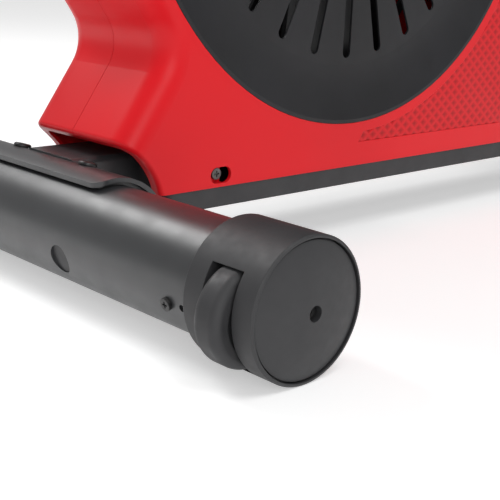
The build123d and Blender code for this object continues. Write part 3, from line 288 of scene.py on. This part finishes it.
FINISHES = {
    "frame_black": powder_coat(),
    "black_plastic": grained_plastic(),
    "skirt_plastic": skirt_plastic(),
    "wheel_plastic": wheel_plastic(),
    "shroud_red": red_shell(),
    "black_steel": black_steel(),
    "zinc": zinc_plate(),
    "chrome": polished_chrome(),
    "bearing_steel": turned_alloy(),
    "alloy": turned_alloy(),
    "fan_black": fan_metal(),
    "belt_rubber": soft_rubber("belt_rubber_ribbed", (0.018, 0.018, 0.018)),
    "grip_rubber": soft_rubber("grip_foam", (0.022, 0.022, 0.023)),
    "seat_cover": seat_leather(),
    "lens_clear": display_glass(),
    "button_rubber": soft_rubber("button_red", (0.4, 0.02, 0.025)),
}
SPECIAL = {
    "fan_guard_left": guard_plastic(),
    "levelling_foot_left": threaded_zinc(),
}
# The shroud screws get the darker zinc: painted shade for their recesses.
SPECIAL["shroud_screws"] = zinc_painted_shade()
SPECIAL["fan_guard_right"] = SPECIAL["fan_guard_left"]
SPECIAL["levelling_foot_right"] = SPECIAL["levelling_foot_left"]
for subpart in frame["record"]["subparts"]:
    obj = nodes[subpart["node"]]
    obj.data.materials.clear()
    look = SPECIAL.get(subpart["node"], FINISHES[subpart["material_slot"]])
    obj.data.materials.append(look.mat)
joints = {joint["name"]: joint for joint in frame["record"]["behaviour"]["joints"]}


# ------------------------------------------------------------------ made pieces
def piece(name, points, faces, slot, body, look=None, smooth=True):
    """A mesh in world metres that rides on a body and takes its finish from a slot."""
    mesh = bpy.data.meshes.new(name)
    mesh.from_pydata([tuple(point) for point in points], [], faces)
    mesh.update()
    mesh.polygons.foreach_set("use_smooth", [smooth] * len(mesh.polygons))
    mesh.materials.append((look or FINISHES[slot]).mat)
    obj = bpy.data.objects.new(name, mesh)
    scene.collection.objects.link(obj)
    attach(obj, body)
    return obj


def across(axis):
    """Two unit vectors square to an axis."""
    first = axis.orthogonal().normalized()
    return first, axis.cross(first)


def turned(name, start, axis, profile, slot, body, steps=64):
    """Surface of revolution: profile holds (distance along the axis, radius) pairs in metres."""
    u, v = across(axis)
    points, faces = [], []
    for along, radius in profile:
        for step in range(steps):
            turn = 2 * pi * step / steps
            points.append(start + axis * along + (u * cos(turn) + v * sin(turn)) * radius)
    for row in range(len(profile) - 1):
        for step in range(steps):
            after = (step + 1) % steps
            faces.append((row * steps + step, row * steps + after,
                          (row + 1) * steps + after, (row + 1) * steps + step))
    return piece(name, points, faces, slot, body)


def bead(name, path, radii, slot, body, sides=10, look=None):
    """Closed tube through a loop of points, with a radius for each of them."""
    count = len(path)
    points, faces = [], []
    for index, (point, radius) in enumerate(zip(path, radii)):
        along = (path[(index + 1) % count] - path[index - 1]).normalized()
        out = along.cross(Vector((0, 0, 1))).normalized()
        up = out.cross(along)
        for step in range(sides):
            turn = 2 * pi * step / sides
            points.append(point + (out * cos(turn) + up * sin(turn)) * radius)
    for row in range(count):
        for step in range(sides):
            after = (step + 1) % sides
            below = (row + 1) % count
            faces.append((row * sides + step, row * sides + after,
                          below * sides + after, below * sides + step))
    return piece(name, points, faces, slot, body, look)


def corners(node):
    """World positions of a CAD node's mesh points."""
    obj = nodes[node]
    return [obj.matrix_world @ vertex.co for vertex in obj.data.vertices]


# ------------------------------------------------------------------ textured panels
LATTICE = (12.7 * MM, 9.8 * MM)    # diagonals of one diamond, along Y and Z
DIMPLE = 1.15 * MM


def panel_cells(low, high, flat_x, sign):
    """Bmesh of sunk four-sided cells between diagonal ridges, over a rectangle in Y and Z."""
    mesh = bmesh.new()
    wide, tall = LATTICE
    made = {}

    def at(i, j, depth):
        if (i, j) not in made:
            made[i, j] = mesh.verts.new((flat_x - sign * depth, low[0] + i * wide / 2,
                                         low[1] + j * tall / 2))
        return made[i, j]

    columns, rows = int((high[0] - low[0]) / wide * 2) + 3, int((high[1] - low[1]) / tall * 2) + 3
    for i in range(-1, columns):
        for j in range(-1, rows):
            if (i + j) % 2:
                continue
            middle = at(i, j, DIMPLE)
            rim = [at(i + 1, j, 0), at(i, j + 1, 0), at(i - 1, j, 0), at(i, j - 1, 0)]
            for k in range(4):
                mesh.faces.new((middle, rim[k], rim[(k + 1) % 4]))
    return mesh


def part_of(mesh, faces):
    """A set of faces with their edges and points, for a cut."""
    geometry = set(faces)
    for face in faces:
        geometry.update(face.edges, face.verts)
    return list(geometry)


FAN_CENTRE = Vector(joints["fan_spin"]["pos_m"])
PANEL_OUTLINE = [(11, 80), (510, 80), (510, 112), (430, 150), (215, 215), (100, 215), (24, 99)]
PANEL_R = 241 * MM                 # the panels stop on this circle round the fan


def off_hub(point):
    """Distance of a point from the fan's axis."""
    return (Vector((0, point.y, point.z)) - Vector((0, FAN_CENTRE.y, FAN_CENTRE.z))).length


def textured_panel(name, sign):
    """Lattice of sunk diamonds, flush with the shroud's side and cut to the panel's outline."""
    low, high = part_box(f"shroud_{name}")
    flat_x = (high.x if sign > 0 else low.x) - sign * 0.05 * MM
    outline = [(FAN_CENTRE.y + y * MM, z * MM) for y, z in PANEL_OUTLINE]
    bottom_left = (min(y for y, _ in outline), min(z for _, z in outline))
    top_right = (max(y for y, _ in outline), max(z for _, z in outline))
    mesh = panel_cells(bottom_left, top_right, flat_x, sign)
    for (ya, za), (yb, zb) in zip(outline, outline[1:] + outline[:1]):
        bmesh.ops.bisect_plane(mesh, geom=part_of(mesh, mesh.faces[:]), dist=1e-7, clear_outer=True,
                               plane_co=(flat_x, ya, za),
                               plane_no=Vector((0, zb - za, ya - yb)).normalized())
    for face in mesh.faces[:]:
        reach = [off_hub(vertex.co) for vertex in face.verts]
        if min(reach) < PANEL_R < max(reach):
            middle = face.calc_center_median()
            out = Vector((0, middle.y - FAN_CENTRE.y, middle.z - FAN_CENTRE.z)).normalized()
            bmesh.ops.bisect_plane(mesh, geom=part_of(mesh, [face]), dist=1e-7,
                                   plane_co=FAN_CENTRE + out * PANEL_R, plane_no=out)
    inside = [face for face in mesh.faces if off_hub(face.calc_center_median()) < PANEL_R]
    bmesh.ops.delete(mesh, geom=inside, context="FACES")
    if sign < 0:
        bmesh.ops.reverse_faces(mesh, faces=mesh.faces[:])
    mesh.verts.index_update()
    points = [vertex.co.copy() for vertex in mesh.verts]
    faces = [[vertex.index for vertex in face.verts] for face in mesh.faces]
    mesh.free()
    panel = piece(f"texture_panel_{name}", points, faces, "shroud_red", "frame", PANEL_LOOK)
    # Each point's depth in its diamond, stored to drive the painted shade in the pits.
    depth = panel.data.attributes.new("painted_pit_shade", "FLOAT", "POINT")
    depth.data.foreach_set("value", [abs(point.x - flat_x) / DIMPLE for point in points])
    return panel


def panel_red_painted_shade():
    """The shroud's red, darkening towards the bottom of the diamonds as painted shade."""
    # 0.92 makes a darker copy of the shroud red: painted shade over the whole panel.
    f = red_shell("red_panel_painted_shade", 0.92)
    painted_pit_shade = f.node("ShaderNodeAttribute", attribute_name="painted_pit_shade").outputs["Fac"]
    return f.tint(painted_pit_shade, (0.36, 0.001, 0.002), 0.15, 0.9)


PANEL_LOOK = panel_red_painted_shade()
for name, sign in (("left", 1), ("right", -1)):
    textured_panel(name, sign)


# ------------------------------------------------------------------ seat cushion
SWELL_CAP = 8 * MM


def applied(obj, modifier):
    with bpy.context.temp_override(object=obj, active_object=obj, selected_objects=[obj]):
        bpy.ops.object.modifier_apply(modifier=modifier.name)


def filled_out(cushion):
    """Blow the cushion up with a short cloth simulation and cap how far it moves."""
    rest = [vertex.co.copy() for vertex in cushion.data.vertices]
    cloth = cushion.modifiers.new("cloth", "CLOTH")
    cloth.settings.use_pressure = True
    cloth.settings.uniform_pressure_force = 4
    cloth.settings.effector_weights.gravity = 0
    cloth.point_cache.frame_start, cloth.point_cache.frame_end = 1, 20
    for frame_number in range(1, 21):
        scene.frame_set(frame_number)
    grown = cushion.evaluated_get(bpy.context.evaluated_depsgraph_get())
    ends = [vertex.co.copy() for vertex in grown.data.vertices]
    cushion.modifiers.remove(cloth)
    scene.frame_set(1)
    for vertex, start, end in zip(cushion.data.vertices, rest, ends):
        shift = end - start
        if shift.length > SWELL_CAP:
            shift *= SWELL_CAP / shift.length
        vertex.co = start + shift


def seat_cushion():
    """Saddle cushion made from the pad's solid: soft edges, a dropped nose and a flat underside."""
    low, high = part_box("seat_pad")
    centre = (low + high) / 2
    source = nodes["seat_pad"]
    data = source.data.copy()
    data.transform(source.matrix_world)
    data.transform(Matrix.Translation(centre) @ Matrix.Diagonal((0.95, 0.96, 0.88, 1))
                   @ Matrix.Translation(-centre))
    data.materials.clear()
    data.materials.append(FINISHES["seat_cover"].mat)
    cushion = bpy.data.objects.new("seat_cushion", data)
    scene.collection.objects.link(cushion)
    voxel = cushion.modifiers.new("voxel", "REMESH")
    voxel.mode, voxel.voxel_size, voxel.use_smooth_shade = "VOXEL", 5 * MM, True
    applied(cushion, voxel)
    soft = bmesh.new()
    soft.from_mesh(cushion.data)
    for _ in range(14):
        bmesh.ops.smooth_vert(soft, verts=soft.verts, factor=0.5,
                              use_axis_x=True, use_axis_y=True, use_axis_z=True)
    for vertex in soft.verts:
        lift = min(1, max(0, (vertex.co.z - low.z) / (high.z - low.z)))
        nose = min(1, max(0, (centre.y + 0.03 - vertex.co.y) / 0.16))
        vertex.co.z -= lift * nose * nose * 0.014
    soft.to_mesh(cushion.data)
    soft.free()
    filled_out(cushion)
    spots = [vertex.co for vertex in cushion.data.vertices]
    least = Vector([min(spot[k] for spot in spots) for k in range(3)])
    most = Vector([max(spot[k] for spot in spots) for k in range(3)])
    for vertex in cushion.data.vertices:
        for k in range(3):
            share = (vertex.co[k] - least[k]) / (most[k] - least[k])
            vertex.co[k] = low[k] + share * (high[k] - low[k])
        if vertex.co.z < low.z + 5 * MM:
            vertex.co.z = low.z + (vertex.co.z - low.z) * 0.15
    finer = cushion.modifiers.new("finer", "SUBSURF")
    finer.levels = 1
    applied(cushion, finer)
    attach(cushion, "seat")
    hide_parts("seat_pad")
    return cushion


def outline_at(obj, height, count):
    """Evenly spaced points of the loop where a surface meets a level."""
    cut = bmesh.new()
    cut.from_mesh(obj.data)
    bmesh.ops.bisect_plane(cut, geom=part_of(cut, cut.faces[:]), plane_co=(0, 0, height),
                           plane_no=(0, 0, 1), clear_inner=True, clear_outer=True)
    loop = [vertex.co.copy() for vertex in cut.verts]
    cut.free()
    middle = sum(loop, Vector()) / len(loop)
    loop.sort(key=lambda point: Vector((1, 0)).angle_signed(
        Vector((point.x - middle.x, point.y - middle.y))))
    lengths = [0.0]
    for index, point in enumerate(loop):
        lengths.append(lengths[-1] + (loop[(index + 1) % len(loop)] - point).length)
    spaced, index = [], 0
    for step in range(count):
        wanted = lengths[-1] * step / count
        while lengths[index + 1] < wanted:
            index += 1
        share = (wanted - lengths[index]) / max(1e-9, lengths[index + 1] - lengths[index])
        spaced.append(loop[index].lerp(loop[(index + 1) % len(loop)], share))
    return spaced


def stitches(name, path, surface, body):
    """Row of raised thread stitches laid on a surface along a closed path seen from above."""
    points, faces = [], []
    sides, shape = 6, ((-2.2, 0.15), (-1.2, 0.5), (0, 0.6), (1.2, 0.5), (2.2, 0.15))
    for index, spot in enumerate(path):
        hit, normal, _, _ = surface.ray_cast(spot + Vector((0, 0, 0.1)), Vector((0, 0, -1)))
        if hit is None:
            continue
        run = (path[(index + 1) % len(path)] - path[index - 1])
        run = (run - normal * run.dot(normal)).normalized()
        aside = normal.cross(run)
        base = len(points)
        for along, radius in shape:
            for step in range(sides):
                turn = 2 * pi * step / sides
                points.append(hit + run * along * MM + normal * 0.1 * MM
                              + (aside * cos(turn) + normal * sin(turn)) * radius * MM)
        for row in range(len(shape) - 1):
            for step in range(sides):
                after = (step + 1) % sides
                faces.append((base + row * sides + step, base + row * sides + after,
                              base + (row + 1) * sides + after, base + (row + 1) * sides + step))
    return piece(name, points, faces, "seat_cover", body, THREAD)


THREAD = soft_rubber("seat_thread", (0.09, 0.09, 0.092))
cushion = seat_cushion()
pad_low, pad_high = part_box("seat_pad")
piping_path = outline_at(cushion, pad_low.z + 8 * MM, 150)
bead("seat_piping", piping_path, [2.0 * MM] * len(piping_path), "seat_cover", "seat")
cushion_surface = BVHTree.FromObject(cushion, bpy.context.evaluated_depsgraph_get())
seam_middle = (pad_low + pad_high) / 2 + Vector((0, 0.02, 0))
seam_path = [seam_middle + (point - seam_middle) * 0.82
             for point in outline_at(cushion, pad_low.z + 24 * MM, 118)]
stitches("seat_stitching", seam_path, cushion_surface, "seat")


# ------------------------------------------------------------------ grips, knobs, pedals, welds, display
def grip_ribs(name):
    """Raised rubber rings along a grip, read off the grip's own mesh."""
    spots = corners(f"grip_{name}")
    middle = sum(spots, Vector()) / len(spots)
    far = max(spots, key=lambda spot: (spot - middle).length)
    axis = Vector((0, far.y - middle.y, 0)).normalized()
    for _ in range(12):
        weighted = Vector()
        for spot in spots:
            weighted += (spot - middle) * (spot - middle).dot(axis)
        axis = weighted.normalized()
    along = [(spot - middle).dot(axis) for spot in spots]
    start = middle + axis * min(along)
    length = max(along) - min(along)
    profile, at = [], 9 * MM
    while at < length - 12 * MM:
        profile += [(at, 19.7 * MM), (at + 0.7 * MM, 20.7 * MM), (at + 1.6 * MM, 21.0 * MM),
                    (at + 2.5 * MM, 20.7 * MM), (at + 3.2 * MM, 19.7 * MM)]
        at += 5.4 * MM
    turned(f"grip_ribs_{name}", start, axis, profile, "grip_rubber", f"arm_{name}")


def flutes(node, axis, length, radius, count):
    """Rounded ribs round the head of a knob, at the far end of its node along an axis."""
    spots = corners(node)
    along = [spot.dot(axis) for spot in spots]
    middle = sum(spots, Vector()) / len(spots)
    tip = middle + axis * (max(along) - middle.dot(axis))
    u, v = across(axis)
    points, faces = [], []
    sides, shape = 8, ((3, 0.5), (4.5, 2.0), (length / 2, 2.3), (length - 4.5, 2.0), (length - 3, 0.5))
    for index in range(count):
        turn = 2 * pi * index / count
        out = u * cos(turn) + v * sin(turn)
        aside = axis.cross(out)
        base = len(points)
        for back, thick in shape:
            for step in range(sides):
                around = 2 * pi * step / sides
                points.append(tip - axis * back * MM + out * (radius - 1.0) * MM
                              + (out * cos(around) + aside * sin(around)) * thick * MM)
        for row in range(len(shape) - 1):
            for step in range(sides):
                after = (step + 1) % sides
                faces.append((base + row * sides + step, base + row * sides + after,
                              base + (row + 1) * sides + after, base + (row + 1) * sides + step))
    piece(f"{node}_flutes", points, faces, "black_plastic", node)


def pedal_studs(name):
    """Rows of blunt studs on both treads of a pedal."""
    low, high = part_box(f"pedal_{name}")
    middle = (low + high) / 2
    points, faces = [], []
    for up, level in ((1, high.z), (-1, low.z)):
        for row in (-45, -8, 8, 45):
            for column in range(9):
                spot = Vector((low.x + (13 + 8 * column) * MM, middle.y + row * MM, level - up * 0.1 * MM))
                base = len(points)
                for half_x, half_y, rise in ((2.4, 2.0, 0), (1.5, 1.1, 1.5)):
                    for x, y in ((-1, -1), (1, -1), (1, 1), (-1, 1)):
                        points.append(spot + Vector((x * half_x, y * half_y, up * rise)) * MM)
                faces.append([base + k for k in (4, 5, 6, 7)])
                for k in range(4):
                    after = (k + 1) % 4
                    faces.append([base + k, base + after, base + 4 + after, base + 4 + k])
    piece(f"pedal_studs_{name}", points, faces, "black_plastic", f"pedal_{name}", smooth=False)


def weld(name, node):
    """Bead of overlapping weld ripples round the foot of an upright tube."""
    spots = corners(node)
    floor_z = min(spot.z for spot in spots)
    rim = [spot for spot in spots if spot.z < floor_z + 0.05 * MM]
    middle = sum(rim, Vector()) / len(rim)
    half_x = max(abs(spot.x - middle.x) for spot in rim)
    half_y = max(abs(spot.y - middle.y) for spot in rim)
    count = 180
    path = [Vector((middle.x + half_x * cos(2 * pi * k / count),
                    middle.y + half_y * sin(2 * pi * k / count),
                    floor_z + 1.0 * MM)) for k in range(count)]
    radii = [(2.5 + 0.5 * abs(sin(pi * k / 4)) + 0.2 * sin(k * 0.37)) * MM for k in range(count)]
    bead(name, path, radii, "frame_black", "frame")


def display():
    """Liquid crystal area and its plain segment bars on the display window."""
    low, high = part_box("console_lens")
    middle = (low + high) / 2
    normal = -Vector(joints["button_mode_press"]["axis"]).normalized()
    up = Vector((1, 0, 0)).cross(normal) * -1
    if up.z < 0:
        up = -up
    right = Vector((1, 0, 0))
    face = middle + normal * 1.1 * MM

    def plate(name, x, y, half_x, half_y, level, slot, look):
        spot = face + right * x * MM + up * y * MM
        points = []
        for rise in (-0.02, level):
            for a, b in ((-1, -1), (1, -1), (1, 1), (-1, 1)):
                points.append(spot + right * a * half_x * MM + up * b * half_y * MM + normal * rise * MM)
        faces = [(4, 5, 6, 7), (0, 1, 5, 4), (1, 2, 6, 5), (2, 3, 7, 6), (3, 0, 4, 7)]
        return piece(name, points, faces, slot, "console", look, smooth=False)

    plate("display_area", 0, 4, 52, 25, 0.08, "lens_clear", DISPLAY_FACE)
    for index, (x, y, wide, tall) in enumerate((
            (-34, 18, 12, 1.2), (0, 18, 12, 1.2), (34, 18, 12, 1.2), (-34, 3, 12, 6), (0, 3, 12, 6),
            (34, 3, 12, 6), (-26, -13, 20, 4), (26, -13, 20, 4))):
        plate(f"display_bar_{index}", x, y, wide, tall, 0.14, "lens_clear", DISPLAY_BAR)


DISPLAY_FACE = display_face()
DISPLAY_BAR = Finish("display_bar", (0.05, 0.06, 0.05), 0.35, edge_mm=0.05)
DISPLAY_BAR.bump(DISPLAY_BAR.noise(900, 2), 0.005, 0.3)
DISPLAY_BAR.rough(DISPLAY_BAR.noise(60, 4), 0.3, 0.4)
DISPLAY_BAR.tint(DISPLAY_BAR.noise(40, 2), (0.07, 0.08, 0.07))
for name in ("left", "right"):
    grip_ribs(name)
    pedal_studs(name)
flutes("slide_knob", Vector((1, 0, 0)), 24, 17, 12)
flutes("height_knob", Vector(joints["height_knob_pull"]["axis"]).normalized(), 26, 19, 12)
weld("weld_post", "front_post")
weld("weld_seat_tube", "seat_tube")
display()


# ------------------------------------------------------------------ light, floor and camera
FLOOR_GLOW = 0.42
WORLD_LIGHT = 0.42
SOFTBOXES = (                                       # name, place, side in metres, watts
    ("high_softbox", (-1.5, -0.75, 1.75), 0.9, 23),
    ("overhead_softbox", (1.3, -0.3, 2.5), 1.2, 24),
    ("front_softbox", (2.6, -2.0, 1.4), 1.6, 24),
)
LIT_SPOT = (0.1, -0.4, 0.1)                         # what the softboxes face
FOCAL_MM, SENSOR_MM = 72.0, 36.0
AZIMUTH, ELEVATION, ROLL = 46.38, 15.96, 2.14       # degrees
FROM_CAP = (0.3461, -0.3758, 0.1792)                # camera, from the middle of the cap's face


def studio():
    """White floor that glows slightly, an even white world and three softboxes."""
    bpy.ops.mesh.primitive_plane_add(size=30, location=(0, 0, 0))
    floor = bpy.context.object
    floor.name = "floor"
    ground = Finish("floor_white", (0.8, 0.8, 0.8), 0.6, Emission_Color=(1, 1, 1, 1),
                    Emission_Strength=FLOOR_GLOW)
    ground.tint(ground.noise(0.5, 2), (0.82, 0.82, 0.82))
    floor.data.materials.append(ground.mat)
    world = bpy.data.worlds.new("studio_world")
    world.use_nodes = True
    world.node_tree.nodes["Background"].inputs["Color"].default_value = (1, 1, 1, 1)
    world.node_tree.nodes["Background"].inputs["Strength"].default_value = WORLD_LIGHT
    scene.world = world
    for name, place, size, power in SOFTBOXES:
        lamp = bpy.data.lights.new(name, "AREA")
        lamp.size, lamp.energy = size, power
        holder = bpy.data.objects.new(name, lamp)
        holder.location = place
        aim = Vector(LIT_SPOT) - Vector(place)
        holder.rotation_euler = aim.to_track_quat("-Z", "Y").to_euler()
        scene.collection.objects.link(holder)


def camera():
    """Low close-up on the front left foot, from the front left."""
    low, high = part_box("front_cap_left")
    cap_centre = Vector((high.x, (low.y + high.y) / 2, (low.z + high.z) / 2))
    lens = bpy.data.cameras.new("camera")
    lens.sensor_width, lens.lens = SENSOR_MM, FOCAL_MM
    lens.clip_start = 0.05
    holder = bpy.data.objects.new("camera", lens)
    azimuth, elevation, roll = radians(AZIMUTH), radians(ELEVATION), radians(ROLL)
    forward = Vector((-sin(azimuth) * cos(elevation), cos(azimuth) * cos(elevation),
                      -sin(elevation)))
    turn = forward.to_track_quat("-Z", "Y").to_matrix() @ Matrix.Rotation(roll, 3, "Z")
    holder.location = cap_centre + Vector(FROM_CAP)
    holder.rotation_euler = turn.to_euler()
    scene.collection.objects.link(holder)
    scene.camera = holder


studio()
camera()
scene.view_settings.view_transform = "Standard"
